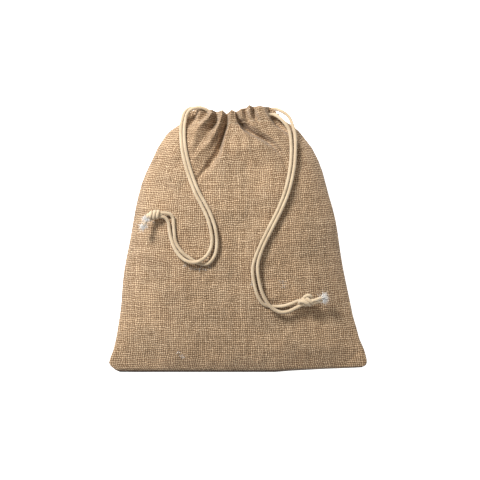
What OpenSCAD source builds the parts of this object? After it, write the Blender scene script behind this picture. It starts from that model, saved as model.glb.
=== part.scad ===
// Drawstring gift pouch of jute cloth, lying on its back with the mouth drawn closed.
// Millimetres. X runs across the pouch, Y from the bottom edge to the mouth, Z up.
// The origin is on the surface the pouch lies on, under the middle of its length.
// The two cloth panels meet on a flat seam plane that rises from the bottom edge to
// the mouth. place() and on_seams() turn seam-plane positions (across, along, off)
// into the frame of the part.

/* [Bag] */
// Widest width of the pouch, near its bottom corners
bag_w = 201; // [170:1:245]
// Length from the bottom edge to the top of the mouth
bag_h = 207; // [180:1:250]
// Rise of the front cloth off the seam plane where the pouch is fullest
front_rise = 22; // [18:1:30]
// Distance from the bottom edge to the fullest place
full_at = 115; // [90:1:135]
// Height of the seam plane at the bottom edge
seam_low = 4; // [3:0.5:6]
// Height of the seam plane at the mouth
seam_high = 15; // [14.5:0.5:18]
// Thickness of a cloth wall
cloth_t = 1.4; // [1:0.1:2]
// Width of the two-layer seam allowance turned to the inside
seam_w = 8; // [5:0.5:12]
// Thickness of the two-layer seam allowance
seam_t = 1.4; // [1:0.1:2]

/* [Mouth] */
// Width of one gathered pleat at the casing
pleat_w = 7.4; // [6.8:0.1:8.4]
// Pleats across the middle of the front lip, which opens
lip_pleats = 3; // [3:2:5]
// Pleats in each fixed end of the front casing
end_pleats = 2; // [2:1:3]
// Height of the casing hem
casing_h = 12; // [11:0.5:16]
// Depth of the gathered casing on each side of the mouth
casing_depth = 10.5; // [9.5:0.5:13]
// How much lower the last pleat is than the middle one
mouth_droop = 3; // [0:0.5:3]
// Free gap between the front and the back casing
mouth_gap = 8; // [6:0.5:10]
// Length of the opening lip below the casing
lip_len = 30; // [20:1:45]
// Clearance of the lip from the cloth beside it
lip_clear = 0.4; // [0.3:0.1:0.8]
// Clearance of the lip along its fold line
fold_clear = 1; // [0.9:0.1:1.6]

/* [Stitches] */
// Thickness of the sewing thread
thread_d = 0.9; // [0.6:0.1:1.2]
// Length of one stitch
stitch_len = 3.2; // [2.5:0.1:5]
// Distance from one stitch to the next
stitch_step = 5.5; // [5.2:0.1:8]

/* [Drawcords] */
// Diameter of a drawcord
cord_d = 2.6; // [2:0.1:2.8]
// Radial clearance of a cord in the casing
cord_clear = 0.3; // [0.2:0.05:0.4]
// Distance from the top of the mouth to the left cord's lane in the casing
lane_edge = 3; // [2.6:0.1:3.4]
// Distance between the lanes of the two cords in the casing
lane_step = 3.8; // [3.8:0.1:4.2]
// Cloth between a cord's lane and the inside of the mouth
lane_wall = 1.8; // [1.2:0.1:2.2]
// Distance between the two strands that hang side by side
pair_step = 2.9; // [2.8:0.1:3.4]
// Length of the overhand knot that ties a pair
knot_len = 8; // [7.5:0.5:9]
// Clearance where a tail turns on its strand
turn_clear = 0.6; // [0.4:0.1:1]
// Outer diameter of the knot
knot_d = 8.4; // [8:0.2:9]
// Distance between the two cut ends where they leave the knot
end_step = 3.8; // [3.6:0.1:4.2]
// Diameter of the frayed tip of a cord
fray_d = 4.6; // [4:0.2:5]

/* [Hidden] */

$fn = 32;
rows = 30;
cols = 20;
row_bias = 1.5;
tube_sides = 8;

body_h = bag_h - casing_h;
tilt = atan((seam_high - seam_low) / bag_h);
fold_v = body_h - lip_len;
lip_half = lip_pleats * pleat_w / 2;
casing_half = lip_half + end_pleats * pleat_w;
pleat_r = pleat_w / 2 + 0.6;
mouth_rise = mouth_gap / 2 + casing_depth - seam_t / 2 - 0.3;
cord_r = cord_d / 2;
lane_r = cord_r + cord_clear;
lane_off = mouth_gap / 2 + lane_wall + lane_r;
lane_left = bag_h - lane_edge;
lane_right = lane_left - lane_step;
stub_start = lip_half + 0.8;

// Half width of the pouch: share of the length, share of the widest half width
side_shape = [
    [0, 0.93], [0.006, 0.965], [0.016, 0.988], [0.035, 1], [0.06, 0.988],
    [0.09, 0.97], [0.15, 0.94],
    [0.25, 0.895], [0.4, 0.845], [0.55, 0.795], [0.68, 0.745], [0.78, 0.69],
    [0.86, 0.625], [0.92, 0.56], [0.96, 0.5], [1, 0.42]
];

// Routes of the two hanging pairs: across, along, height of the inner and outer strand
left_route = [
    [-42.5, 93, 20.5, 20.5], [-43.5, 84, 24.5, 23], [-42.5, 70, 27.5, 27],
    [-38.5, 53, 30.5, 30], [-32.5, 37, 33, 32.5], [-25.5, 23, 34.5, 34],
    [-19, 8.5, 34.5, 34.5], [-17, -2, 34, 34], [-19.5, -11.5, 33, 33],
    [-26, -17, 32, 32], [-34, -17.5, 31, 31.5], [-42, -13, 30.5, 31],
    [-48, -5, 30, 30.5], [-51.5, 6, 30, 30.5], [-55, 15.5, 29.5, 30]
];
right_route = [
    [42.5, 87, 23.5, 23.5], [43.5, 80, 26, 24.5], [43.5, 69, 27.5, 27],
    [42, 55, 29.5, 29], [37.5, 38, 32.5, 32], [31, 22.5, 34, 34],
    [24, 8.5, 34.5, 34.5], [17.5, -5, 34, 34], [13, -16.5, 32.5, 32.5],
    [11.5, -29, 31, 31], [14.5, -42, 28.5, 29], [21.5, -51.5, 26.5, 27],
    [31, -55.5, 25.5, 26], [40.5, -54, 25.5, 26]
];

// Strands between the casing and the top of each pair
left_front_bend = [[-32, 101, 22.5], [-37, 100.5, 21.5], [-40, 97.5, 20.5]];
left_back_bend = [[-32, 102.5, 8.5], [-38, 102.5, 12], [-42.5, 99.5, 17.5]];
right_front_bend = [[32, 96, 22.5], [37, 95, 23], [40, 92, 23]];
right_back_bend = [[33, 96.5, 8.5], [39.5, 96.5, 12.5], [43.5, 93.5, 19]];

// Knots: centre and heading, and the tips of the two cut ends
left_knot_at = [-65.5, 20.5, 29];
left_knot_heading = 176;
left_tips = [[-70.8, 13.8, 23.2], [-78, 13, 21]];
right_knot_at = [52.5, -47.5, 27.5];
right_knot_heading = 12;
right_tips = [[65, -43.5, 24.8], [66.5, -48.5, 24.8]];

// A point from its place across, along and off the seam plane
function place(across, along, off) = [
    across,
    along * cos(tilt) - off * sin(tilt) - bag_h / 2,
    seam_low + along * sin(tilt) + off * cos(tilt)
];

module on_seams() {
    translate([0, -bag_h / 2, seam_low])
        rotate([tilt, 0, 0])
            children();
}

// ---------- Cloth panels ----------

function half_width(v) = bag_w / 2 * lookup(v / body_h, side_shape);

function swell(v) = pow(1 - pow(1 - min(v, full_at) / full_at, 2), 0.7);

function settle(v) = 0.5 + 0.5 * cos(180 * (v - full_at) / (body_h - full_at));

// Rise of the front cloth off the seam plane along the middle of the pouch
function front_crown(v) = v < full_at
    ? front_rise * swell(v)
    : mouth_rise + (front_rise - mouth_rise) * settle(v);

function front_arch(t) = pow(1 - pow(abs(t), 2.8), 0.62);

// Depth of the back cloth below the seam plane: it rests flat on the table
function back_crown(v) = (seam_low + v * sin(tilt)) / cos(tilt) - seam_t / 2;

function back_start(v) = pow(1 - pow(1 - min(v, 12) / 12, 2), 0.6);

function back_arch(t) = abs(t) < 0.55 ? 1 : pow(1 - pow((abs(t) - 0.55) / 0.45, 2.2), 0.6);

function row_v(i) = body_h * pow(i / rows, row_bias);

function inner_row_v(i) = cloth_t + (body_h - cloth_t) * pow(i / rows, row_bias);

function col_t(j) = sin(180 * j / cols - 90);

function front_outer(i, j) = place(
    half_width(row_v(i)) * col_t(j), row_v(i),
    seam_t / 2 + front_crown(row_v(i)) * front_arch(col_t(j)));

function front_inner(i, j) = place(
    (half_width(inner_row_v(i)) - cloth_t) * col_t(j), inner_row_v(i),
    seam_t / 2 + (i == 0 ? 0 : front_crown(inner_row_v(i)) - cloth_t) * front_arch(col_t(j)));

function back_outer(i, j) = place(
    half_width(row_v(i)) * col_t(j), row_v(i),
    -seam_t / 2 - back_crown(row_v(i)) * back_start(row_v(i)) * back_arch(col_t(j)));

function back_inner_depth(v) = max(0, back_crown(v) * back_start(v) - cloth_t);

function back_inner(i, j) = place(
    (half_width(inner_row_v(i)) - cloth_t) * col_t(j), inner_row_v(i),
    -seam_t / 2 - (i == 0 ? 0 : back_inner_depth(inner_row_v(i))) * back_arch(col_t(j)));

function cell(i, j, wide, base) = [
    base + i * wide + j, base + i * wide + j + 1,
    base + (i + 1) * wide + j + 1, base + (i + 1) * wide + j
];

function flipped(face) = [for (k = [len(face) - 1:-1:0]) face[k]];

function bridge(a, b, shift) = [a, a + shift, b + shift, b];

// Four-sided faces are split along one diagonal, because their corners may not be level
function split_faces(faces) = [
    for (f = faces) each [[f[0], f[1], f[2]], [f[0], f[2], f[3]]]
];

// A closed shell from an outer and an inner grid of points of the same size
module shell_of(outer_grid, inner_grid) {
    tall = len(outer_grid);
    wide = len(outer_grid[0]);
    shift = tall * wide;
    points = concat([for (r = outer_grid) each r], [for (r = inner_grid) each r]);
    outer_faces = [for (i = [0:tall - 2]) for (j = [0:wide - 2]) flipped(cell(i, j, wide, 0))];
    inner_faces = [for (i = [0:tall - 2]) for (j = [0:wide - 2]) cell(i, j, wide, shift)];
    side = wide - 1;
    top_row = (tall - 1) * wide;
    left_rim = [for (i = [0:tall - 2]) bridge(i * wide, (i + 1) * wide, shift)];
    right_rim = [for (i = [0:tall - 2]) flipped(bridge(i * wide + side, (i + 1) * wide + side, shift))];
    low_rim = [for (j = [0:wide - 2]) flipped(bridge(j, j + 1, shift))];
    high_rim = [for (j = [0:wide - 2]) bridge(top_row + j, top_row + j + 1, shift)];
    rims = concat(left_rim, right_rim, low_rim, high_rim);
    polyhedron(points, split_faces(concat(outer_faces, inner_faces, rims)));
}

module front_cloth() {
    shell_of(
        [for (i = [0:rows]) [for (j = [0:cols]) front_outer(i, j)]],
        [for (i = [0:rows]) [for (j = [0:cols]) front_inner(i, j)]]);
}

module lip_block(half, from_v) {
    on_seams()
        translate([-half, from_v, 0])
            cube([2 * half, bag_h - from_v, 2 * front_rise + 10]);
}

module front_panel() {
    color("tan")
        difference() {
            front_cloth();
            lip_block(lip_half, fold_v);
        }
}

module back_panel() {
    color("burlywood")
        shell_of(
            [for (i = [0:rows]) [for (j = [0:cols]) back_inner(i, j)]],
            [for (i = [0:rows]) [for (j = [0:cols]) back_outer(i, j)]]);
}

module front_lip() {
    color("peru")
        intersection() {
            front_cloth();
            lip_block(lip_half - lip_clear, fold_v + fold_clear);
        }
}

// ---------- Seams inside the pouch ----------

module seam_strip(outline) {
    on_seams()
        translate([0, 0, -seam_t / 2])
            linear_extrude(seam_t)
                polygon(outline);
}

// Outline of a side allowance: the panel's own edge, then back along the inner edge
function side_strip(way) = concat(
    [[way * half_width(seam_w), seam_w]],
    [for (i = [1:rows]) if (row_v(i) > seam_w) [way * half_width(row_v(i)), row_v(i)]],
    [for (i = [rows:-1:1]) if (row_v(i) > seam_w)
        [way * (half_width(row_v(i)) - seam_w), row_v(i)]],
    [[way * (half_width(seam_w) - seam_w), seam_w]]);

module left_seam_allowance() {
    color("sandybrown") seam_strip(side_strip(-1));
}

module right_seam_allowance() {
    color("sandybrown") seam_strip(side_strip(1));
}

module bottom_seam_allowance() {
    low = [for (i = [0:rows]) if (row_v(i) < seam_w) [half_width(row_v(i)), row_v(i)]];
    right_side = concat(low, [[half_width(seam_w), seam_w]]);
    left_side = [for (k = [len(right_side) - 1:-1:0]) [-right_side[k][0], right_side[k][1]]];
    color("sandybrown") seam_strip(concat(right_side, left_side));
}

// One stitch lying along the direction given by turn, in the seam plane's frame
module stitch(at, turn) {
    translate(at)
        rotate([0, 0, turn])
            rotate([0, 90, 0])
                cylinder(h = stitch_len, d = thread_d, center = true, $fn = 16);
}

module side_stitches(way) {
    first = 2 * seam_w;
    inset = seam_w / 2;
    on_seams()
        for (v = [first:stitch_step:body_h - stitch_step]) {
            lean = atan2(way * (half_width(v + 1) - half_width(v - 1)), 2);
            stitch([way * (half_width(v) - inset), v, seam_t / 2], 90 - lean);
        }
}

module left_seam_stitches() {
    color("wheat") side_stitches(-1);
}

module right_seam_stitches() {
    color("wheat") side_stitches(1);
}

module bottom_seam_stitches() {
    reach = half_width(0) - 2 * seam_w;
    color("wheat")
        on_seams()
            for (x = [-reach:stitch_step:reach]) stitch([x, seam_w / 2, seam_t / 2], 0);
}

// ---------- Gathered mouth ----------

function droop(x) = mouth_droop * pow(x / casing_half, 2);

function pleat_top(x) = mouth_gap / 2 + casing_depth - droop(x);

function pleat_x(k) = (k - (lip_pleats + 2 * end_pleats - 1) / 2) * pleat_w;

// Plan of the gathered hem: one round-topped column for each pleat
module pleat_outline() {
    for (k = [0:lip_pleats + 2 * end_pleats - 1]) {
        x = pleat_x(k);
        top = pleat_top(x) - pleat_r;
        translate([x, top]) circle(pleat_r);
        translate([x - pleat_w / 2 - 0.5, mouth_gap / 2])
            square([pleat_w + 1, top - mouth_gap / 2]);
    }
}

// A stretch of the casing hem from one place across to another, bored for both cords
module casing_stretch(from_x, to_x) {
    on_seams()
        difference() {
            translate([0, bag_h, 0])
                rotate([90, 0, 0])
                    linear_extrude(casing_h)
                        intersection() {
                            pleat_outline();
                            translate([from_x, 0]) square([to_x - from_x, 3 * casing_depth]);
                        }
            for (v = [lane_left, lane_right])
                translate([0, v, lane_off])
                    rotate([0, 90, 0])
                        cylinder(h = 4 * casing_half, r = lane_r, center = true);
        }
}

module front_casing() {
    half = lip_half - lip_clear;
    color("peru") casing_stretch(-half, half);
}

module left_casing_end() {
    color("tan") casing_stretch(-casing_half, -lip_half);
}

module right_casing_end() {
    color("tan") casing_stretch(lip_half, casing_half);
}

// The back casing is the mirror image of the front one in the seam plane
module back_casing() {
    color("burlywood")
        on_seams()
            difference() {
                translate([0, bag_h - casing_h, 0])
                    rotate([-90, 0, 0])
                        linear_extrude(casing_h) pleat_outline();
                for (v = [lane_left, lane_right])
                    translate([0, v, -lane_off])
                        rotate([0, 90, 0])
                            cylinder(h = 4 * casing_half, r = lane_r, center = true);
            }
}

// Hem stitches: one across the crest of each pleat from first to last
module hem_stitches(first, last, side) {
    on_seams()
        for (k = [first:last])
            stitch([pleat_x(k), body_h + 1.5, side * pleat_top(pleat_x(k))], 0);
}

module front_hem_stitches() {
    color("wheat") hem_stitches(end_pleats, end_pleats + lip_pleats - 1, 1);
}

module left_hem_stitches() {
    color("wheat") hem_stitches(0, end_pleats - 1, 1);
}

module right_hem_stitches() {
    first = end_pleats + lip_pleats;
    color("wheat") hem_stitches(first, first + end_pleats - 1, 1);
}

module back_hem_stitches() {
    color("wheat") hem_stitches(0, lip_pleats + 2 * end_pleats - 1, -1);
}

// ---------- Drawcords in the casing ----------

module cord_run(from_x, to_x, lane, off) {
    on_seams()
        translate([from_x, lane, off])
            rotate([0, 90, 0])
                cylinder(h = to_x - from_x, r = cord_r);
}

module left_cord_front_run() {
    half = lip_half - lip_clear;
    color("cornsilk") cord_run(-half, half, lane_left, lane_off);
}

module right_cord_front_run() {
    half = lip_half - lip_clear;
    color("cornsilk") cord_run(-half, half, lane_right, lane_off);
}

// The cord leaves one end of the front casing, turns round the seam and comes
// back through the back casing
module turn_at_right(lane) {
    on_seams() {
        translate([lip_half, lane, lane_off])
            rotate([0, 90, 0])
                cylinder(h = casing_half - lip_half, r = cord_r);
        translate([casing_half, lane, 0])
            rotate([90, 0, 0])
                rotate([0, 0, -90])
                    rotate_extrude(angle = 180) translate([lane_off, 0]) circle(cord_r);
        translate([-stub_start + 0.6, lane, -lane_off])
            rotate([0, 90, 0])
                cylinder(h = casing_half + stub_start - 0.6, r = cord_r);
    }
}

module left_cord_turn() {
    color("cornsilk") turn_at_right(lane_left);
}

module right_cord_turn() {
    color("cornsilk") mirror([1, 0, 0]) turn_at_right(lane_right);
}

// ---------- Hanging strands ----------

function unit(a) = a / norm(a);

function heading_at(path, i) = unit(
    path[min(i + 1, len(path) - 1)] - path[max(i - 1, 0)]);

function level_side(d) = unit([-d[1], d[0], 0]);

function ring_at(p, d, r) = [
    for (k = [0:tube_sides - 1])
        p + r * cos(360 * k / tube_sides) * level_side(d)
          + r * sin(360 * k / tube_sides) * cross(d, level_side(d))
];

// Rings that round off the start of a cord, from its tip to its full radius
function round_start(path) = [
    for (a = [80, 55, 28])
        ring_at(path[0] - heading_at(path, 0) * cord_r * sin(a), heading_at(path, 0), cord_r * cos(a))
];

// A round cord swept along its points. It ends flat, and starts flat or rounded.
module swept_cord(path, rounded = false) {
    body_rings = [for (i = [0:len(path) - 1]) ring_at(path[i], heading_at(path, i), cord_r)];
    rings = concat(rounded ? round_start(path) : [], body_rings);
    count = len(rings);
    last = (count - 1) * tube_sides;
    points = [for (r = rings) each r];
    sides = [
        for (i = [0:count - 2]) for (k = [0:tube_sides - 1])
            [
                i * tube_sides + k, (i + 1) * tube_sides + k,
                (i + 1) * tube_sides + (k + 1) % tube_sides,
                i * tube_sides + (k + 1) % tube_sides
            ]
    ];
    near_end = [for (k = [0:tube_sides - 1]) k];
    far_end = [for (k = [tube_sides - 1:-1:0]) last + k];
    polyhedron(points, concat(split_faces(sides), [near_end, far_end]));
}

// Sideways direction of a pair at a point of its route, level with the table
function pair_side(route, i) = level_side(
    [for (c = [0, 1]) route[min(i + 1, len(route) - 1)][c] - route[max(i - 1, 0)][c]]);

function turned(v, a) = [v[0] * cos(a) - v[1] * sin(a), v[0] * sin(a) + v[1] * cos(a), v[2]];

// Last two points of a strand, where it runs straight into the knot's end face
function into_knot(knot_at, heading, side) = [
    for (back = [knot_len / 2 + 2, knot_len / 2])
        knot_at + turned([-back, side * pair_step / 2, 0], heading)
];

// One strand of a pair. Side is 1 for the strand on the left of the route's direction.
function strand_path(route, side, height_column, knot_at, heading) = concat(
    [
        for (i = [0:len(route) - 1])
            [
                route[i][0] + side * pair_step / 2 * pair_side(route, i)[0],
                route[i][1] + side * pair_step / 2 * pair_side(route, i)[1],
                route[i][height_column]
            ]
    ],
    into_knot(knot_at, heading, side));

left_inner_path = strand_path(left_route, 1, 2, left_knot_at, left_knot_heading);
left_outer_path = strand_path(left_route, -1, 3, left_knot_at, left_knot_heading);
right_inner_path = strand_path(right_route, -1, 2, right_knot_at, right_knot_heading);
right_outer_path = strand_path(right_route, 1, 3, right_knot_at, right_knot_heading);

module left_inner_tail() {
    color("cornsilk") swept_cord(left_inner_path, true);
}

module left_outer_tail() {
    color("cornsilk") swept_cord(left_outer_path, true);
}

module right_inner_tail() {
    color("cornsilk") swept_cord(right_inner_path, true);
}

module right_outer_tail() {
    color("cornsilk") swept_cord(right_outer_path, true);
}

// Short of a tail's round start by its radius and a clearance
function stop_short(from, to) = to + unit(from - to) * (cord_r + turn_clear);

function exit_path(way, lane, off, bend, top) = concat(
    [
        place(way * stub_start, lane, off),
        place(way * (casing_half + 1), lane, off)
    ],
    bend,
    [stop_short(bend[len(bend) - 1], top)]);

module left_front_strand() {
    path = exit_path(-1, lane_left, lane_off, left_front_bend, left_inner_path[0]);
    color("cornsilk") swept_cord(path);
}

module left_back_strand() {
    path = exit_path(-1, lane_left, -lane_off, left_back_bend, left_outer_path[0]);
    color("cornsilk") swept_cord(path);
}

module right_front_strand() {
    path = exit_path(1, lane_right, lane_off, right_front_bend, right_inner_path[0]);
    color("cornsilk") swept_cord(path);
}

module right_back_strand() {
    path = exit_path(1, lane_right, -lane_off, right_back_bend, right_outer_path[0]);
    color("cornsilk") swept_cord(path);
}

// ---------- Knots and cut ends ----------

// Overhand knot: three wraps of cord round a tight core
module knot(at, heading) {
    wrap_r = cord_r + 0.1;
    ring_r = knot_d / 2 - wrap_r;
    translate(at)
        rotate([0, 0, heading])
            rotate([0, 90, 0]) {
                cylinder(h = knot_len, r = ring_r + 0.4, center = true);
                for (w = [-1:1])
                    translate([0, 0, w * (knot_len / 2 - wrap_r - 0.1)])
                        rotate_extrude() translate([ring_r, 0]) circle(wrap_r);
            }
}

module left_knot() {
    color("cornsilk") knot(left_knot_at, left_knot_heading);
}

module right_knot() {
    color("cornsilk") knot(right_knot_at, right_knot_heading);
}

// A straight piece of round cord between two points
module straight_cord(from, to) {
    d = to - from;
    translate(from)
        rotate([0, acos(d[2] / norm(d)), atan2(d[1], d[0])])
            cylinder(h = norm(d), r = cord_r);
}

// A cut end: it starts just clear of the knot's end face and ends in a frayed ball
module cut_end(knot_at, heading, side, tip) {
    root = knot_at + turned([knot_len / 2 + cord_r, side * end_step / 2, 0], heading);
    straight_cord(root, tip);
    translate(root) sphere(cord_r);
    translate(tip) sphere(d = fray_d);
}

module left_upper_end() {
    color("white") cut_end(left_knot_at, left_knot_heading, 1, left_tips[0]);
}

module left_lower_end() {
    color("white") cut_end(left_knot_at, left_knot_heading, -1, left_tips[1]);
}

module right_upper_end() {
    color("white") cut_end(right_knot_at, right_knot_heading, 1, right_tips[0]);
}

module right_lower_end() {
    color("white") cut_end(right_knot_at, right_knot_heading, -1, right_tips[1]);
}

front_panel();
back_panel();
left_seam_allowance();
right_seam_allowance();
bottom_seam_allowance();
left_seam_stitches();
right_seam_stitches();
bottom_seam_stitches();
back_casing();
left_casing_end();
right_casing_end();
back_hem_stitches();
left_hem_stitches();
right_hem_stitches();
left_cord_turn();
right_cord_turn();
front_lip();
front_casing();
front_hem_stitches();
left_cord_front_run();
right_cord_front_run();
left_front_strand();
left_back_strand();
left_inner_tail();
left_outer_tail();
left_knot();
left_upper_end();
left_lower_end();
right_front_strand();
right_back_strand();
right_inner_tail();
right_outer_tail();
right_knot();
right_upper_end();
right_lower_end();
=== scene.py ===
"""A drawstring gift pouch of jute cloth lying on its back, with the mouth drawn closed.

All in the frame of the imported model: the cords are laid in metres, the cloth in millimetres.
Pieces follow in the order the pouch is put together.
"""

import bpy
import numpy as np
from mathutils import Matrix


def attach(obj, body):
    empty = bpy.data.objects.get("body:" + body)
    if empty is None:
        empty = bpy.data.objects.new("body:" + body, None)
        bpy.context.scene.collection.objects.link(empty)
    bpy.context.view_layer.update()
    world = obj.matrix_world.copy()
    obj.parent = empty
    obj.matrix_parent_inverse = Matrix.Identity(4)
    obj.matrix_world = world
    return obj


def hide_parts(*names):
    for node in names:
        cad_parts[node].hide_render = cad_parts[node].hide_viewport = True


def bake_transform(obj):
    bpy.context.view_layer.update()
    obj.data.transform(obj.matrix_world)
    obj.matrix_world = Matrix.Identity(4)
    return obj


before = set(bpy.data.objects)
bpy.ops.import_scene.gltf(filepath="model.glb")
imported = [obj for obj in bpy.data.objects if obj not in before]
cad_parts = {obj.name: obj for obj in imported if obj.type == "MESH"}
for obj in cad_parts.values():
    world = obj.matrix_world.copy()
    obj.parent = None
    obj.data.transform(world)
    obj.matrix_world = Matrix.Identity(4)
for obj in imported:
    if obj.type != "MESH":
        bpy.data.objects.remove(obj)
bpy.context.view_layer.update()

# ---------- Camera ----------
# The view is straight down on the pouch, through a long lens, so the sides of the cloth
# hardly show.
camera_data = bpy.data.cameras.new("camera")
camera_data.lens = 144
camera_data.sensor_width = 36
camera = bpy.data.objects.new("camera", camera_data)
camera.location = (0.0008, -0.0004, 1.503)
bpy.context.scene.collection.objects.link(camera)
bpy.context.scene.camera = camera

# ---------- Drawcord strands ----------
# Four strands of round braided cotton cord, 2.6 mm thick, in natural cream. Two leave the
# casing at each end, hang side by side over the front cloth and are tied into one knot.
cord_d = 0.0026
cord_r = cord_d / 2


def smooth_path(points, step=0.0006):
    """Even points along a Catmull-Rom curve: a cubic blend of four neighbours between each two."""
    points = np.asarray(points, float)
    ends = np.vstack([2 * points[:1] - points[1:2], points, 2 * points[-1:] - points[-2:-1]])
    s = np.linspace(0, 1, 24, endpoint=False)[None, :, None]
    a, b, c, d = (ends[k : len(ends) - 3 + k, None, :] for k in range(4))
    curve = 2 * b + (c - a) * s + (2 * a - 5 * b + 4 * c - d) * s**2
    curve = (curve + (3 * b - a - 3 * c + d) * s**3) / 2
    curve = np.vstack([curve.reshape(-1, 3), points[-1:]])
    gone = np.concatenate([[0], np.cumsum(np.linalg.norm(np.diff(curve, axis=0), axis=1))])
    even = np.linspace(0, gone[-1], max(8, int(gone[-1] / step)) + 1)
    return np.column_stack([np.interp(even, gone, curve[:, k]) for k in range(3)])


def unit(v):
    """Each vector at length one."""
    return v / np.maximum(np.linalg.norm(v, axis=-1, keepdims=True), 1e-12)


def tube(path, radius, sides=14):
    """Rings of points square to the path, each one's side carried on from the last, with rounded ends."""
    path = np.asarray(path, float)
    ahead = unit(np.gradient(path, axis=0))
    radius = np.broadcast_to(radius, len(path))
    cap = np.radians([88, 60, 30])
    start = path[0] - ahead[0] * radius[0] * np.sin(cap)[:, None]
    finish = path[-1] + ahead[-1] * radius[-1] * np.sin(cap[::-1])[:, None]
    centre = np.vstack([start, path, finish])
    ahead = np.vstack([ahead[:1]] * 3 + [ahead] + [ahead[-1:]] * 3)
    radius = np.concatenate([radius[0] * np.cos(cap), radius, radius[-1] * np.cos(cap[::-1])])
    side = np.zeros_like(ahead)
    last = np.cross(ahead[0], (0.02, 0.1, 1))
    for k, way in enumerate(ahead):
        last = unit(last - way * np.dot(last, way))
        side[k] = last
    other = np.cross(ahead, side)
    turn = 2 * np.pi * np.arange(sides) / sides
    rings = np.cos(turn)[None, :, None] * side[:, None] + np.sin(turn)[None, :, None] * other[:, None]
    points = centre[:, None] + radius[:, None, None] * rings
    gone = np.concatenate([[0], np.cumsum(np.linalg.norm(np.diff(centre, axis=0), axis=1))])
    i, k = (g.ravel() for g in np.meshgrid(np.arange(len(centre) - 1), np.arange(sides), indexing="ij"))
    n = (k + 1) % sides
    quads = np.column_stack([i * sides + k, i * sides + n, (i + 1) * sides + n, (i + 1) * sides + k])
    around = np.column_stack([k, k + 1, k + 1, k]) / sides
    along = np.column_stack([gone[i], gone[i], gone[i + 1], gone[i + 1]])
    ends = [list(range(sides))[::-1], [(len(centre) - 1) * sides + k for k in range(sides)]]
    uv = np.vstack([np.dstack([around, along]).reshape(-1, 2), np.zeros((2 * sides, 2))])
    return points.reshape(-1, 3), quads.tolist() + ends, uv


def joined(parts):
    """Several sets of points, faces and thread coordinates as one set."""
    shift = np.cumsum([0] + [len(p[0]) for p in parts])
    faces = [[v + int(s) for v in f] for (_, fs, _), s in zip(parts, shift) for f in fs]
    return np.vstack([p[0] for p in parts]), faces, np.vstack([p[2] for p in parts])


def piece(name, shape, material):
    """A named object with its mesh, thread coordinates, material and slot."""
    points, faces, uv = shape
    mesh = bpy.data.meshes.new(name)
    mesh.from_pydata(np.asarray(points).tolist(), [], faces)
    layer = mesh.uv_layers.new(name="thread")
    layer.data.foreach_set("uv", np.asarray(uv, np.float32).ravel())
    mesh.shade_smooth()
    mesh.materials.append(material)
    made = bpy.data.objects.new(name, mesh)
    bpy.context.scene.collection.objects.link(made)
    return made


class Nodes:
    """Adds shader nodes to one material and joins them up."""

    def __init__(self, name):
        self.material = bpy.data.materials.new(name)
        self.material.use_nodes = True
        self.tree = self.material.node_tree
        self.shader = self.tree.nodes["Principled BSDF"]

    def add(self, kind, sockets=(), **settings):
        """A new node with its settings, and a value or a link in each named socket."""
        made = self.tree.nodes.new("ShaderNode" + kind)
        for key, value in settings.items():
            setattr(made, key, value)
        for key, value in dict(sockets).items():
            self.put(made.inputs[key], value)
        return made

    def put(self, socket, value):
        """Links an output to a socket, or sets the socket to a plain value."""
        if isinstance(value, bpy.types.NodeSocket):
            self.tree.links.new(value, socket)
        else:
            socket.default_value = value

    def math(self, operation, a, b=0.0, c=0.0):
        """The result of one arithmetic step."""
        return self.add("Math", {0: a, 1: b, 2: c}, operation=operation).outputs[0]

    def between(self, value, low, high, start=0.0, end=1.0):
        """A smooth step from start to end as the value goes from low to high."""
        sockets = {"Value": value, "From Min": low, "From Max": high, "To Min": start, "To Max": end}
        return self.add("MapRange", sockets, interpolation_type="SMOOTHSTEP").outputs[0]

    def mix(self, share, first, second, blend="MIX"):
        """Two colours mixed by a share of the second."""
        made = self.add("Mix", data_type="RGBA", blend_type=blend)
        self.put(made.inputs["Factor"], share)
        colours = [s for s in made.inputs if s.type == "RGBA"]
        self.put(colours[0], first)
        self.put(colours[1], second)
        return [s for s in made.outputs if s.type == "RGBA"][0]

    def noise(self, where, scale, detail=2.0, rough=0.5):
        """Soft random value at a place."""
        sockets = {"Vector": where, "Scale": scale, "Detail": detail, "Roughness": rough}
        return self.add("TexNoise", sockets).outputs[0]

    def thread(self):
        """The piece's thread coordinates: across and along."""
        split = self.add("SeparateXYZ", {0: self.add("UVMap", uv_map="thread").outputs[0]})
        return split.outputs[0], split.outputs[1]

    def place(self, x, y, z=0.0):
        """A place made of its three parts."""
        return self.add("CombineXYZ", {0: x, 1: y, 2: z}).outputs[0]

    def finish(self, colour, height, bump_distance, strength=1.0):
        """Gives the material its colour and its fine relief, and hands it back."""
        bump = self.add("Bump", {"Height": height, "Distance": bump_distance, "Strength": strength})
        self.put(self.shader.inputs["Base Color"], colour)
        self.put(self.shader.inputs["Normal"], bump.outputs[0])
        return self.material


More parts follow.
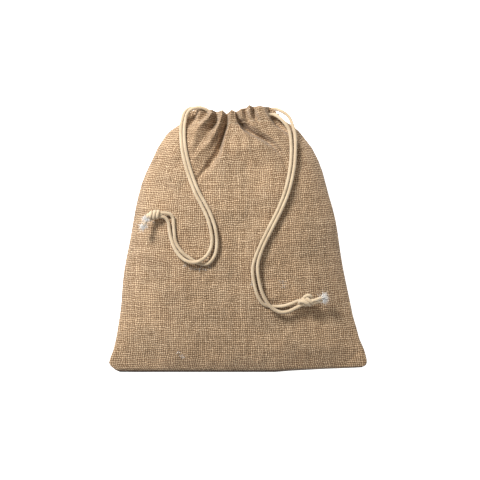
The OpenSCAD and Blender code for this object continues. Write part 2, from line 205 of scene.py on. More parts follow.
def braid_material(name, light, dark, seed):
    """Braided cotton: two sets of yarns crossing slantwise, with soft fuzz, slight soiling and painted shade between
    the yarns.
    """
    n = Nodes(name)
    around, along = n.thread()
    ring = n.math("MULTIPLY", around, 8)
    run = n.math("MULTIPLY", along, 1 / 0.0011)
    one = n.math("SINE", n.math("MULTIPLY", n.math("ADD", ring, run), np.pi))
    two = n.math("SINE", n.math("MULTIPLY", n.math("SUBTRACT", ring, run), np.pi))
    yarn = n.math("MULTIPLY", n.math("ABSOLUTE", one), n.math("ABSOLUTE", two))
    where = n.add("NewGeometry").outputs["Position"]
    fuzz = n.noise(where, 2600 + seed, 4, 0.7)
    patch = n.noise(where, 90 + seed, 3, 0.6)
    # Painted shade: the colour darkens where the yarn relief is low, between the yarns; the large patches are random
    # soiling.
    shade = n.math("ADD", n.math("MULTIPLY", yarn, 0.45), n.math("MULTIPLY", patch, 0.75))
    colour = n.mix(n.between(shade, 0.2, 0.75), dark, light)
    colour = n.mix(n.between(fuzz, 0.35, 0.65, 0.0, 0.25), colour, (*[c * 1.12 for c in light[:3]], 1))
    n.shader.inputs["Roughness"].default_value = 0.86
    n.shader.inputs["Sheen Weight"].default_value = 0.35
    n.shader.inputs["Sheen Roughness"].default_value = 0.5
    n.shader.inputs["Specular IOR Level"].default_value = 0.2
    return n.finish(colour, n.math("ADD", yarn, n.math("MULTIPLY", fuzz, 0.5)), 0.00028, 0.7)


cord_material = braid_material("cotton_cord_braid", (0.6, 0.475, 0.32, 1), (0.34, 0.235, 0.13, 1), 0)


# Each strand's way from the casing over the bag to its knot
left_inner_line = [
    (-0.0412, 0.093, 0.0205), (-0.0422, 0.084, 0.0245), (-0.0412, 0.0702, 0.0275), (-0.0372, 0.0534, 0.0305),
    (-0.0313, 0.0376, 0.033), (-0.0258, 0.0275, 0.0342), (-0.0218, 0.0195, 0.0345), (-0.0182, 0.0088, 0.0345),
    (-0.0169, -0.002, 0.034), (-0.0184, -0.0118, 0.0325), (-0.0236, -0.0183, 0.0314), (-0.031, -0.0183, 0.0306),
    (-0.0372, -0.0148, 0.0306), (-0.0422, -0.0112, 0.0312), (-0.0461, -0.0065, 0.0312), (-0.0487, -0.0012, 0.0312),
    (-0.0496, 0.005, 0.0312), (-0.0501, 0.0112, 0.0313), (-0.0506, 0.0162, 0.031), (-0.0527, 0.0192, 0.0315),
    (-0.0568, 0.0203, 0.0318),
]
left_outer_line = [
    (-0.0438, 0.093, 0.0205), (-0.0448, 0.084, 0.023), (-0.0438, 0.0698, 0.027), (-0.0398, 0.0526, 0.03),
    (-0.0339, 0.0364, 0.0325), (-0.0288, 0.0265, 0.0335), (-0.0246, 0.0175, 0.034), (-0.0219, 0.0088, 0.034),
    (-0.0206, 0.0001, 0.034), (-0.0218, -0.0073, 0.0335), (-0.0257, -0.0134, 0.0342), (-0.0312, -0.0168, 0.0342),
    (-0.0365, -0.0174, 0.0336), (-0.0415, -0.0157, 0.0324), (-0.0463, -0.0114, 0.0316), (-0.0499, -0.0055, 0.0314),
    (-0.052, 0.0005, 0.0305), (-0.0533, 0.0071, 0.0306), (-0.0541, 0.0128, 0.0308), (-0.0561, 0.0163, 0.0311),
    (-0.0593, 0.0175, 0.0315),
]
right_inner_line = [
    (0.0382, 0.0852, 0.0243), (0.0396, 0.079, 0.026), (0.0402, 0.069, 0.0275), (0.0393, 0.0553, 0.0295),
    (0.0357, 0.0385, 0.0325), (0.0299, 0.0232, 0.034), (0.0229, 0.0092, 0.0345), (0.0163, -0.0045, 0.034),
    (0.0117, -0.0164, 0.0325), (0.0105, -0.0245, 0.0315), (0.0115, -0.0325, 0.0303), (0.0131, -0.0395, 0.0288),
    (0.0156, -0.0455, 0.0274), (0.019, -0.0497, 0.0257), (0.0235, -0.0513, 0.0243), (0.0288, -0.0516, 0.0242),
    (0.0345, -0.0511, 0.0247), (0.0403, -0.0494, 0.0256), (0.045, -0.0474, 0.0265),
]
right_outer_line = [
    (0.0418, 0.0865, 0.0235), (0.0432, 0.0795, 0.0245), (0.0434, 0.0686, 0.027), (0.0422, 0.0543, 0.029),
    (0.0383, 0.0373, 0.032), (0.0321, 0.0218, 0.034), (0.0251, 0.0078, 0.0345), (0.0187, -0.0055, 0.034),
    (0.0149, -0.0166, 0.0325), (0.0144, -0.0245, 0.0317), (0.0156, -0.0325, 0.0308), (0.0171, -0.0385, 0.0299),
    (0.0195, -0.0447, 0.0289), (0.0228, -0.05, 0.0279), (0.027, -0.0538, 0.0266), (0.0324, -0.0559, 0.0255),
    (0.0382, -0.0552, 0.0254), (0.0436, -0.0526, 0.026),
]
left_front_start = [
    (-0.019, 0.0955, 0.0195), (-0.0225, 0.0985, 0.0215), (-0.0265, 0.1009, 0.0226),
    (-0.031, 0.1018, 0.0228), (-0.0355, 0.101, 0.0222), (-0.039, 0.0985, 0.0212),
]
left_back_start = [
    (-0.019, 0.0955, 0.0105), (-0.025, 0.0985, 0.0095), (-0.031, 0.101, 0.01),
    (-0.037, 0.102, 0.0125), (-0.0418, 0.099, 0.0165),
]
right_front_start = [
    (0.0195, 0.0928, 0.0178), (0.0228, 0.0952, 0.0178), (0.0262, 0.0966, 0.0194), (0.0305, 0.0944, 0.0223),
    (0.035, 0.0901, 0.0235),
]
right_back_start = [
    (0.019, 0.0975, 0.011), (0.0235, 0.101, 0.0115), (0.028, 0.1012, 0.0135),
    (0.0335, 0.099, 0.0163), (0.0388, 0.0945, 0.0192),
]
left_knot_at, left_heading = (-0.0649, 0.0189, 0.0318), 184
right_knot_at, right_heading = (0.0514, -0.0476, 0.0276), 17
strands = {
    "left_inner_strand": (left_front_start, left_inner_line, 1, "left_front_strand", "left_inner_tail"),
    "left_outer_strand": (left_back_start, left_outer_line, -1, "left_back_strand", "left_outer_tail"),
    "right_inner_strand": (right_front_start, right_inner_line, 1, "right_front_strand", "right_inner_tail"),
    "right_outer_strand": (right_back_start, right_outer_line, -1, "right_back_strand", "right_outer_tail"),
}
strand_paths, strand_pieces = {}, {}
for name, (start, line, side, *nodes) in strands.items():
    hand = name.split("_")[0]
    knot_at = left_knot_at if hand == "left" else right_knot_at
    near = np.array(knot_at) + (0, side * 0.001, 0)
    path = smooth_path(np.vstack([start, line, near]))
    strand_paths[name] = path
    made = piece(name, tube(path, cord_r), cord_material)
    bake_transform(made)
    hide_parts(*nodes)
    strand_pieces[name] = made

# ---------- Knots and cut ends ----------
# Each pair is tied in one overhand knot: two wraps round the pair and one pass over them.
# The cut ends stick out for about a centimetre and fray into white cotton fibre.
fray_material = braid_material("frayed_cotton_fibre", (0.93, 0.91, 0.88, 1), (0.74, 0.715, 0.68, 1), 40)


def turned(points, heading, at):
    """Points turned level by the heading in degrees, then moved to a place."""
    c, s = np.cos(np.radians(heading)), np.sin(np.radians(heading))
    x, y, z = np.asarray(points, float).T
    return np.column_stack([x * c - y * s, x * s + y * c, z]) + at


def knot_shape(at, heading, slant, passes):
    """A helix drawn in at both ends, its turns slanted across the pair, with single passes tucked in."""
    s = np.linspace(0, 1, 110)
    angle = 2 * np.pi * (2.7 * s - 0.1)
    draw_in = np.minimum(1, np.minimum(s, 1 - s) / 0.09)
    out = 0.0026 * (0.35 + 0.65 * draw_in**0.5)
    lean = slant * np.cos(angle)
    wraps = np.column_stack([-0.0036 + 0.0072 * s + lean, out * np.cos(angle), 0.85 * out * np.sin(angle)])
    core = smooth_path([(-0.005, 0.0003, 0), (0, 0.0001, 0.0002), (0.005, -0.0004, 0)])
    lines = [wraps, core] + [smooth_path(line) for line in passes]
    return joined([tube(turned(line, heading, at), cord_r * 0.97, 12) for line in lines])


def fibres(roots, ahead, length, radius, curl, seed):
    """Thin tapered threads: each bends from its root by its own curl, growing with the square of the way."""
    rng = np.random.default_rng(seed)
    count = len(roots)
    s = np.linspace(0, 1, 6)[None, :, None]
    bend = curl * rng.normal(size=(count, 3))[:, None]
    twist = 0.4 * curl * rng.normal(size=(count, 3))[:, None]
    line = roots[:, None] + length[:, None, None] * (ahead[:, None] * s + bend * s**2 + twist * np.sin(5 * s))
    side = unit(np.cross(ahead, rng.normal(size=(count, 3))))[:, None]
    other = unit(np.cross(ahead, side[:, 0]))[:, None]
    thick = (radius * (1 - 0.7 * s))[..., None]
    turn = (2 * np.pi * np.arange(3) / 3)[None, None, :, None]
    points = line[:, :, None] + thick * (np.cos(turn) * side[:, :, None] + np.sin(turn) * other[:, :, None])
    i, j, k = (g.ravel() for g in np.meshgrid(np.arange(count), np.arange(5), np.arange(3), indexing="ij"))
    n, base = (k + 1) % 3, (i * 6 + j) * 3
    quads = np.column_stack([base + k, base + n, base + 3 + n, base + 3 + k])
    start = np.arange(count)[:, None] * 18
    caps = np.vstack([start + np.array([2, 1, 0]), start + 15 + np.array([0, 1, 2])])
    faces = quads.tolist() + caps.tolist()
    return points.reshape(-1, 3), faces, np.zeros((4 * len(quads) + 3 * len(caps), 2))


def cut_end(root, tip, spread, seed):
    """A short end of cord and its tuft: fibres fan out of the cut in a cone and curl."""
    rng = np.random.default_rng(seed)
    root, tip = np.array(root), np.array(tip)
    middle = (root + tip) / 2 + np.array([0, 0, 0.0006])
    body = tube(smooth_path([root, middle, tip]), cord_r * 0.97, 12)
    ahead = unit(tip - root)
    scatter = unit(ahead + spread * rng.normal(size=(150, 3)))
    roots = tip + ahead * 0.0004 + 0.0007 * rng.normal(size=(150, 3))
    tuft = fibres(roots, scatter, rng.uniform(0.0012, 0.0032, 150), 0.00013, 0.45, seed)
    return body, tuft


# Passes that show outside the wraps: a tuck at the left knot, a small arch and a tuck at the right one
left_passes = [[(0.003, -0.0012, 0.0006), (0.0044, 0.0016, 0.0012), (0.003, 0.0034, 0.0002)]]
right_passes = [
    [(-0.0012, 0.002, 0.0008), (0.0002, 0.0037, 0.0014), (0.0026, 0.0041, 0.0018), (0.0045, 0.0028, 0.0012),
     (0.0047, 0.0006, -0.0004), (0.0034, -0.0012, -0.001)],
    [(-0.0046, 0.001, 0.0012), (-0.0022, 0.0008, 0.0038), (0.0004, -0.0018, 0.0034), (0.002, -0.0034, 0.0006)],
]
knots = {
    "left_knot_wraps": (left_knot_at, left_heading, 0.0012, left_passes, "left_tails", "left_knot"),
    "right_knot_wraps": (right_knot_at, right_heading, -0.0012, right_passes, "right_tails", "right_knot"),
}
for name, (at, heading, slant, passes, body, node) in knots.items():
    made = piece(name, knot_shape(at, heading, slant, passes), cord_material)
    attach(made, body)
    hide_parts(node)

cut_ends = {
    "left_upper_cut_end": ((-0.069, 0.0188, 0.0325), (-0.0704, 0.0168, 0.0336), 0.55, 11, "left_upper_end"),
    "left_lower_cut_end": ((-0.0692, 0.0172, 0.0318), (-0.0728, 0.0108, 0.0342), 0.5, 12, "left_lower_end"),
    "right_upper_cut_end": ((0.0556, -0.0474, 0.0284), (0.0641, -0.0447, 0.0276), 0.55, 13, "right_upper_end"),
    "right_lower_cut_end": ((0.0558, -0.0492, 0.027), (0.0644, -0.0467, 0.0262), 0.55, 14, "right_lower_end"),
}
end_pieces = {}
for name, (root, tip, spread, seed, node) in cut_ends.items():
    body, tuft = cut_end(root, tip, spread, seed)
    made = piece(name, body, cord_material)
    fray = piece(name + "_fray", tuft, fray_material)
    for part in (made, fray):
        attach(part, node.split("_")[0] + "_tails")
    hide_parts(node)
    end_pieces[name] = [made, fray]

# ---------- Drawcords inside the casing ----------
# Each drawcord crosses the front casing, turns round the seam at the far end and comes
# back through the back casing. Most of it is hidden while the mouth is closed. When it
# opens, the blunt start of each turn shows in it, because the turns stay with the pouch.
turns = {
    "left_cord_turn_loop": (1, 0.0965, "left_cord_turn"),
    "right_cord_turn_loop": (-1, 0.0945, "right_cord_turn"),
}
for name, (way, along, node) in turns.items():
    bend = np.radians(np.linspace(90, -90, 9))
    loop = np.column_stack([0.0245 + 0.0055 * np.cos(bend), np.full(9, along), 0.015 + 0.0045 * np.sin(bend)])
    line = np.vstack([[(0.008, along - 0.001, 0.0193)], loop, [(-0.02, along - 0.001, 0.0105)]])
    made = piece(name, tube(smooth_path(line * (way, 1, 1)), cord_r * 0.96, 12), cord_material)
    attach(made, "pouch")
    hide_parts(node)


# ---------- Outline and folds of the front cloth ----------
# The cloth is wide at the bottom, narrows to the mouth and puffs up like a slack pillow.
# The drawn casing gathers it into pleats that run out into a few long folds.
mm = 0.001
bottom_y, top_y = -103.5, 100
cloth_thick = 1.2
hem_groove_y, hem_stitch_y = 90.2, 90.3
# Edges of the cloth from the bottom to the mouth, as y and x
left_edge = np.array(
    [
        (-103.5, -93), (-102.5, -96), (-101, -98.2), (-99, -100.8), (-96.5, -101.6), (-92, -100.4),
        (-87.2, -98.4), (-77.9, -96.1), (-68.6, -94.5), (-59.3, -93), (-50, -91.8), (-40.7, -91.2),
        (-31.4, -90.4), (-22.1, -89.1), (-12.8, -87.4), (-3.5, -85.4), (5.8, -83.7), (15.1, -82.1),
        (24.4, -80.4), (33.7, -78.3), (43, -75.8), (52.3, -72.1), (61.6, -67.6), (70.9, -63.2),
        (75.5, -60.4), (80.2, -57.2), (84.8, -53.4), (89.5, -48), (93, -44.3), (96, -42), (100, -39.5),
    ]
)
right_edge = np.array(
    [
        (-103.5, 96), (-102.8, 98), (-101.6, 99.2), (-99.8, 99.9), (-97.5, 99.8), (-94.5, 99.2), (-90, 98.2),
        (-87.2, 97.4), (-77.9, 94), (-68.6, 91.6), (-59.3, 88.8), (-50, 86.9), (-40.7, 84.9),
        (-31.4, 82.9), (-22.1, 81), (-12.8, 79.4), (-3.5, 78), (5.8, 76.7), (15.1, 75.1),
        (24.4, 72.8), (33.7, 70), (43, 67.5), (52.3, 65), (61.6, 61.6), (70.9, 56.8),
        (75.5, 53.3), (80.2, 49.6), (84.8, 46), (89.5, 41.2), (93, 36.6), (96, 32.6), (100, 29),
    ]
)
# Top edge of the gathered casing, as x and y
mouth_edge = np.array(
    [
        (-40, 96.6), (-37.5, 98.4), (-34, 99.6), (-30, 99.9), (-26.5, 99.6), (-24, 98.6), (-21, 99.4), (-17, 97.6),
        (-12.8, 99), (-9.6, 96.2), (-5.7, 99.2), (-2.3, 97.6), (1.9, 100.2), (5, 100.6), (7.8, 102.9),
        (11, 101.6), (16, 102.3), (20, 101.6), (23, 102), (26.5, 100), (30, 97.5),
    ]
)
# Tracks of the folds from left to right. Each point is y, x and rise off the smooth cloth.
fold_tracks = [
    [(101, -41, -0.6), (92, -42.5, -0.5), (84, -45, -0.2), (70, -47, 0), (40, -47, 0)],
    [(101, -35.4, -6.5), (97, -34.8, -8), (92, -35.2, -7.5), (88, -37, -3.5), (84, -40, -1), (70, -43, 0),
     (40, -43, 0)],
    [(101, -30.5, -2.8), (97, -30, -3.6), (93, -32, -4.6), (90, -34, -3.2), (86, -37, -1), (70, -41, 0),
     (40, -41, 0)],
    [(101, -25.5, -5.5), (97, -25, -6), (93, -29, -5.4), (90, -31.8, -3), (86, -35, -0.8), (70, -39, 0),
     (40, -39, 0)],
    [(101, -21.5, -1), (98, -21, -0.3), (93, -25.4, 0.2), (88, -30, 0.4), (82.6, -34, 0.4), (74, -36, 0.1),
     (66, -37.5, 0), (40, -38, 0)],
    [(101, -17.2, -6.5), (96, -17.6, -7.2), (92, -17.7, -8), (88, -19.6, -8.2), (84.7, -21.8, -7.4),
     (80, -25, -5.8), (77, -27.2, -4.8), (72, -30.5, -3.2), (68, -33.4, -1.7), (62, -36.4, -0.4), (40, -37, 0)],
    [(101, -12.9, -0.8), (97.8, -13, -0.2), (92.3, -14.4, 0.4), (84.7, -17.9, 0.6), (80, -20, 0.6),
     (75.7, -22.4, 0.4), (70, -27, 0.3), (67.4, -29.5, 0.3), (62.5, -34, 0.2), (52, -36.4, 0), (40, -36.4, 0)],
    [(101, -10.6, -4.5), (95, -11, -4), (90, -11.4, -3.6), (84.7, -13.4, -3.6), (76.4, -16, -3.8), (70, -19.4, -3.4),
     (66, -21.4, -2.6), (61.2, -25.6, -1.8), (54.9, -29, -1), (48.7, -33.4, -0.4), (40, -35.6, 0)],
    [(101, -9.6, -6.8), (95, -9.4, -7.5), (90, -9.6, -8.4), (84.7, -10.6, -9), (76.4, -13.2, -9),
     (70, -14.8, -7.8), (66, -15.9, -6.6), (61.2, -18.6, -5.6), (54.9, -24, -3.8), (48.7, -30.5, -2), (40, -35, 0)],
    [(101, -5.9, -0.6), (97.8, -6, 0), (88.2, -7.4, 0.5), (79.8, -10, 0.9), (70, -11.8, 1.1), (64, -13, 1.1),
     (59, -15.4, 1), (54, -19, 0.8), (48, -25, 0.6), (42.5, -30, 0.3), (34, -33, 0)],
    [(101, -4, -1.2), (95, -3.7, -1), (90, -3, 0.2), (86.8, -2, 0.9), (82.6, -0.4, 1.3), (78.8, 2, 1.6),
     (70.2, 6, 1.7), (60, 8, 1.3), (50, 8, 0.9), (40, 6, 0.3), (30, 5, 0)],
    [(101, -3.2, -1.2), (95.8, -2.6, -1), (91, -1.6, -0.8), (88.4, -0.6, -0.2), (86.4, 0.6, 0.5), (84.5, 1.7, 0.9),
     (82.6, 3.6, 1.2), (80.6, 7, 1.3), (78.8, 10.6, 1.3), (76.4, 15.2, 1.2), (74.3, 18.8, 1.1), (70.2, 24.4, 0.8),
     (64, 31, 0.4), (40, 38, 0)],
    [(101, -2.2, -4.5), (95.8, -1.6, -5), (93, -0.8, -5.6), (91, 0.2, -7.2), (88.4, 2.2, -10.5), (86.4, 3.6, -11),
     (84.5, 5.4, -10.8), (82.6, 8.4, -9.8), (80.6, 12, -8.6), (78.8, 15.8, -7.4), (76.4, 20.5, -6),
     (74.3, 23.8, -4.6), (70.2, 28.8, -2.4), (64, 34.4, -0.7), (40, 39, 0)],
    [(101, 1.7, -1), (97, 2, -0.8), (93, 3.2, -1.2), (89.5, 5.4, -3), (86.8, 8.2, -3.9), (82.6, 14.6, -3),
     (78.8, 21.6, -2), (74.3, 28.8, -0.8), (64, 37, 0), (40, 40, 0)],
    [(101, 5, -5.4), (97, 5.2, -5.4), (93, 6.6, -4.6), (90, 8.4, -2.8), (86.8, 10.8, -1.2), (82.6, 17, -0.5),
     (78.8, 24, -0.2), (64, 39, 0), (40, 41, 0)],
    [(101, 8.3, 0), (97, 8.2, 0), (93, 9, -0.8), (90, 10.8, -0.8), (86.8, 13, -0.4), (82.6, 19, 0), (74, 31, 0),
     (64, 40, 0), (40, 42, 0)],
    [(101, 11.4, -4.8), (97, 10.9, -5.4), (93, 12, -4.8), (90.9, 13, -3), (86.8, 16.4, -0.8), (82.6, 21, 0),
     (74, 32, 0), (64, 41, 0), (40, 43, 0)],
    [(101, 15, -0.4), (97.8, 14.8, 0), (93, 16.4, 0.4), (89.5, 19, 0.6), (84.7, 24, 0.7), (79.8, 29.6, 0.5),
     (74, 34.4, 0.2), (66, 41.6, 0), (40, 44, 0)],
    [(101, 19.4, 0), (97, 20, 0.7), (93, 21.8, 1.2), (88.8, 26.4, 1.4), (84, 32.4, 1), (80, 37, 0.5),
     (74, 41.4, 0), (40, 45, 0)],
    [(101, 22.8, -7), (97, 23.6, -8.4), (93, 25.4, -9), (88.8, 29.3, -7.8), (85.4, 33.6, -5.8), (81, 39, -2.8),
     (76, 43.4, -0.6), (40, 46, 0)],
    [(101, 26.4, -6.4), (97, 27.8, -7), (93, 31, -6.6), (88.8, 36.4, -5), (85.4, 40.4, -3), (81, 44, -1),
     (76, 47, 0), (40, 47, 0)],
    [(101, 28, -6), (95, 33, -5), (91.6, 38, -3), (85, 46, -0.6), (76, 50, 0), (40, 50, 0)],
]


def seam_height(y):
    """Height of the plane in which the two cloths meet, rising from the bottom edge to the mouth."""
    return 4 + 11 * (y - bottom_y) / 206.8


def half_and_middle(y):
    """Half the width of the cloth and its middle, at each y."""
    low, high = (np.interp(y, edge[:, 0], edge[:, 1]) for edge in (left_edge, right_edge))
    return (high - low) / 2, (high + low) / 2


def soft(t):
    """A smooth step from 0 to 1 as t goes from 0 to 1."""
    t = np.clip(t, 0, 1)
    return t * t * (3 - 2 * t)


def ripples(x, y, size, seed, count=14):
    """Sum of plane waves in all directions, with wave lengths about the given size."""
    rng = np.random.default_rng(seed)
    way, phase = rng.uniform(0, 2 * np.pi, (2, count))
    rate = 2 * np.pi / (size * rng.uniform(0.6, 1.6, count))
    waves = [np.sin(r * (x * np.cos(w) + y * np.sin(w)) + p) for r, w, p in zip(rate, way, phase)]
    return sum(waves) / np.sqrt(count)


def front_dome(x, y):
    """The smooth puffed cloth: a pillow arch across, on a crown that grows fast from the bottom edge."""
    v = y - bottom_y
    low = 22 * np.clip(1 - (1 - np.clip(v, 0, 115) / 115) ** 2, 0, 1) ** 0.7
    high = 13.7 + 8.3 * (0.5 + 0.5 * np.cos(np.pi * np.clip((v - 115) / 82, 0, 1)))
    half, middle = half_and_middle(y)
    across = np.clip(np.abs(x - middle) / half, 0, 1)
    return seam_height(y) + 0.1 + np.where(v < 115, low, high) * (1 - across**2.8) ** 0.62


def fold_rise(x, y):
    """Smooth steps from each fold track to the next, added up across the cloth."""
    at = [np.interp(y, *np.array(track)[::-1, :2].T) for track in fold_tracks]
    rise = [np.interp(y, *np.array(track)[::-1, ::2].T) for track in fold_tracks]
    for k in range(1, len(at)):
        at[k] = np.maximum(at[k], at[k - 1] + 0.35)
    total = rise[0] + 0 * x
    for k in range(1, len(at)):
        total = total + (rise[k] - rise[k - 1]) * soft((x - at[k - 1]) / (at[k] - at[k - 1]))
    return total


def casing_hem(y):
    """The doubled cloth of the casing, with a stitched groove along its lower edge."""
    return 0.3 * soft((y - 90) / 3) - 0.3 * np.exp(-(((y - hem_groove_y) / 0.8) ** 2))


def fine_gathers(x, y):
    """Small radiating wrinkles below the mouth, strongest at the shoulders."""
    angle = np.arctan2(x + 4, 118 - y)
    fade = soft((y - 30) / 40) * soft((104 - y) / 20)
    return 0.4 * fade * np.sin(31 * angle + 1.3 * ripples(x, y, 40, 5)) * (0.4 + 0.6 * soft(np.abs(x + 4) / 30))


def body_creases(x, y):
    """Slack in the body: broad hollows, a dimple in the right corner and soft puckers along the bottom."""
    slack = 0.75 * ripples(x, y, 55, 2) + 0.3 * ripples(x, y, 22, 3) + 0.1 * ripples(x, y, 7, 4)
    dimple = -2.4 * np.exp(-(((x - 94) / 3) ** 2) - ((y + 89.5) / 3.5) ** 2)
    ear = 0.9 * np.exp(-(((x - 95.5) / 3) ** 2) - ((y + 95) / 3) ** 2)
    fold = -1.5 * np.exp(-((((x - 89) - 0.8 * (y + 94)) / 2.3) ** 2) - ((y + 94) / 7) ** 2)
    pucker = 0.35 * ripples(x, 0 * y, 14, 6) * np.exp(-((y + 97) / 9) ** 2)
    tension = -1.1 * np.exp(-(((x - 6 - 0.3 * (y - 10)) / 9) ** 2)) * np.exp(-(((y - 5) / 45) ** 2))
    half, middle = half_and_middle(y)
    out = np.clip(np.abs(x - middle) / half, 0, 1)
    return (1 - out**6) * (slack * soft((y + 103) / 14) + pucker + tension) + (1 - out**24) * (dimple + ear + fold)


cord_points = np.vstack([p[::3] for p in strand_paths.values()]) / mm
cord_points = cord_points[(cord_points[:, 1] < 94) & (cord_points[:, 2] > 19)]


def under_cords(x, y, z):
    """The cloth gives way under the cords: it stays below them, in a shallow trough."""
    roof = np.full(x.shape, 1e3)
    for cx, cy, cz in cord_points:
        near = (x - cx) ** 2 + (y - cy) ** 2
        roof = np.minimum(roof, cz - 1.62 + 0.085 * near)
    return np.minimum(z, roof)


def front_height(x, y):
    """Height of the front cloth's outer face in millimetres, before it gives way under the cords."""
    fold = fold_rise(x, y) + casing_hem(y) + fine_gathers(x, y) + body_creases(x, y)
    rise = front_dome(x, y) - seam_height(y)
    floor = seam_height(y) + np.minimum(rise, cloth_thick)
    return np.maximum(seam_height(y) + rise + fold * soft(rise / 6), floor)


# ---------- Front cloth ----------
# One panel of natural jute cloth in plain weave, 1.2 mm thick. Its top is turned over and
# stitched into the casing; the drawn cords gather it and its folds run down over the front.


def jute_material():
    """Plain weave: warp and weft threads of uneven thickness pass over each other by turns, with dark gaps; the
    colour follows the thread relief as painted shade, and painted shade darkens the bottom edge.
    """
    n = Nodes("jute_plain_weave")
    across, along = n.thread()
    flat = n.place(across, along)
    pitch = 1.62
    drift_x = n.between(n.noise(flat, 0.16, 3), 0.3, 0.7, -0.45, 0.45)
    drift_y = n.between(n.noise(n.place(along, across), 0.16, 3), 0.3, 0.7, -0.45, 0.45)
    x = n.math("MULTIPLY", n.math("ADD", across, drift_x), 1 / pitch)
    y = n.math("MULTIPLY", n.math("ADD", along, drift_y), 1 / pitch)
    warp, weft = n.math("FLOOR", x), n.math("FLOOR", y)
    wave_x = n.math("SINE", n.math("MULTIPLY", x, np.pi))
    wave_y = n.math("SINE", n.math("MULTIPLY", y, np.pi))
    round_x = n.math("POWER", n.math("ABSOLUTE", wave_x), 0.7)
    round_y = n.math("POWER", n.math("ABSOLUTE", wave_y), 0.7)
    over_x = n.math("MULTIPLY", n.math("SIGN", wave_x), wave_y)
    over_y = n.math("MULTIPLY", n.math("SIGN", wave_y), wave_x)
    along_warp = n.place(n.math("MULTIPLY", warp, 7.31), n.math("MULTIPLY", y, 0.14))
    along_weft = n.place(n.math("MULTIPLY", x, 0.14), n.math("MULTIPLY", weft, 5.77))
    slub_x = n.between(n.noise(along_warp, 1, 2), 0.28, 0.72)
    slub_y = n.between(n.noise(along_weft, 1, 2), 0.28, 0.72)
    swing, lift, swell = 0.44, 0.46, 0.28
    crown_x = n.math("MULTIPLY_ADD", over_x, swing, lift)
    crown_y = n.math("MULTIPLY_ADD", slub_y, swell, lift)
    high_x = n.math("MULTIPLY", round_x, n.math("ADD", crown_x, n.math("MULTIPLY", slub_x, swell)))
    high_y = n.math("MULTIPLY", round_y, n.math("SUBTRACT", crown_y, n.math("MULTIPLY", over_y, swing)))
    height = n.math("MAXIMUM", high_x, high_y)
    on_top = n.between(n.math("SUBTRACT", high_x, high_y), -0.08, 0.08)
    tone_x = n.add("TexWhiteNoise", {"W": warp}, noise_dimensions="1D").outputs[0]
    tone_y = n.add("TexWhiteNoise", {"W": n.math("ADD", weft, 0.37)}, noise_dimensions="1D").outputs[0]
    below = n.math("SUBTRACT", 1, on_top)
    tone = n.math("ADD", n.math("MULTIPLY", on_top, tone_x), n.math("MULTIPLY", below, tone_y))
    fleck = n.noise(flat, 2.6, 3, 0.65)
    patch = n.noise(flat, 0.035, 3, 0.55)
    fibre = n.noise(n.place(n.math("MULTIPLY", across, 9), n.math("MULTIPLY", along, 9)), 1, 2, 0.7)
    # Painted shade: the colour follows thread height, so the gaps and thread flanks darken and the crowns stay
    # light; thread tone, flecks and patches are the jute's own.
    shade = n.math("ADD", n.math("MULTIPLY", height, 0.78), n.math("MULTIPLY", tone, 0.12))
    shade = n.math("ADD", shade, n.between(fleck, 0.3, 0.7, -0.24, 0.26))
    shade = n.math("ADD", shade, n.math("MULTIPLY", patch, 0.16))
    ramp = n.add("ValToRGB", {0: shade})
    stops = ramp.color_ramp.elements
    stops[0].position, stops[0].color = 0.26, (0.06, 0.03, 0.012, 1)
    stops[1].position, stops[1].color = 0.98, (0.68, 0.51, 0.34, 1)
    for position, colour in ((0.47, (0.158, 0.093, 0.046, 1)), (0.72, (0.335, 0.222, 0.128, 1))):
        stops.new(position).color = colour
    tint_and_edge_shade = n.mix(n.between(patch, 0.35, 0.65, 0, 0.35), ramp.outputs[0], (1.0, 0.9, 0.8, 1), "MULTIPLY")
    # Painted shade: over the first 4 mm from each panel's bottom edge the colour darkens to near black-brown, where
    # the rolled edge turns away from the light.
    tint_and_edge_shade = n.mix(n.between(along, 0.2, 4.2, 0.88, 0), tint_and_edge_shade, (0.025, 0.012, 0.006, 1))
    n.shader.inputs["Roughness"].default_value = 0.88
    n.shader.inputs["Sheen Weight"].default_value = 0.15
    n.shader.inputs["Specular IOR Level"].default_value = 0.15
    total = n.math("ADD", height, n.math("MULTIPLY", fibre, 0.22))
    return n.finish(tint_and_edge_shade, total, 0.0007, 0.75)


cloth_material = jute_material()


def cloth_shell(outer, rim, inner, uv, flip):
    """A closed sheet: outer rows, rim rows over the top, inner rows back down, then sides and bottom."""
    grid = np.concatenate([outer, rim, inner[::-1]])
    gone = np.linalg.norm(np.diff(np.concatenate([outer[-1:], rim, inner[-1:]]), axis=0), axis=-1).cumsum(0)
    top = uv[-1:, :, 1]
    over = np.stack([np.repeat(uv[-1:, :, 0], len(rim), 0), top + gone[:-1]], -1)
    under = np.stack([uv[::-1, :, 0], 2 * top + gone[-1:] - uv[::-1, :, 1]], -1)
    threads = np.concatenate([uv, over, under])
    tall, wide = grid.shape[:2]
    number = np.arange(tall * wide).reshape(tall, wide)
    faces = np.stack([number[:-1, :-1], number[:-1, 1:], number[1:, 1:], number[1:, :-1]], -1).reshape(-1, 4)
    i = np.arange(tall // 2 - 1)
    left = np.stack([number[i, 0], number[i + 1, 0], number[tall - 2 - i, 0], number[tall - 1 - i, 0]], -1)
    right = np.stack([number[i, -1], number[tall - 1 - i, -1], number[tall - 2 - i, -1], number[i + 1, -1]], -1)
    base = np.stack([number[0, :-1], number[-1, :-1], number[-1, 1:], number[0, 1:]], -1)
    faces = np.concatenate([faces, left, right, base])
    faces = faces[:, ::-1] if flip else faces
    return grid.reshape(-1, 3) * mm, faces.tolist(), threads.reshape(-1, 2)[faces].reshape(-1, 2)


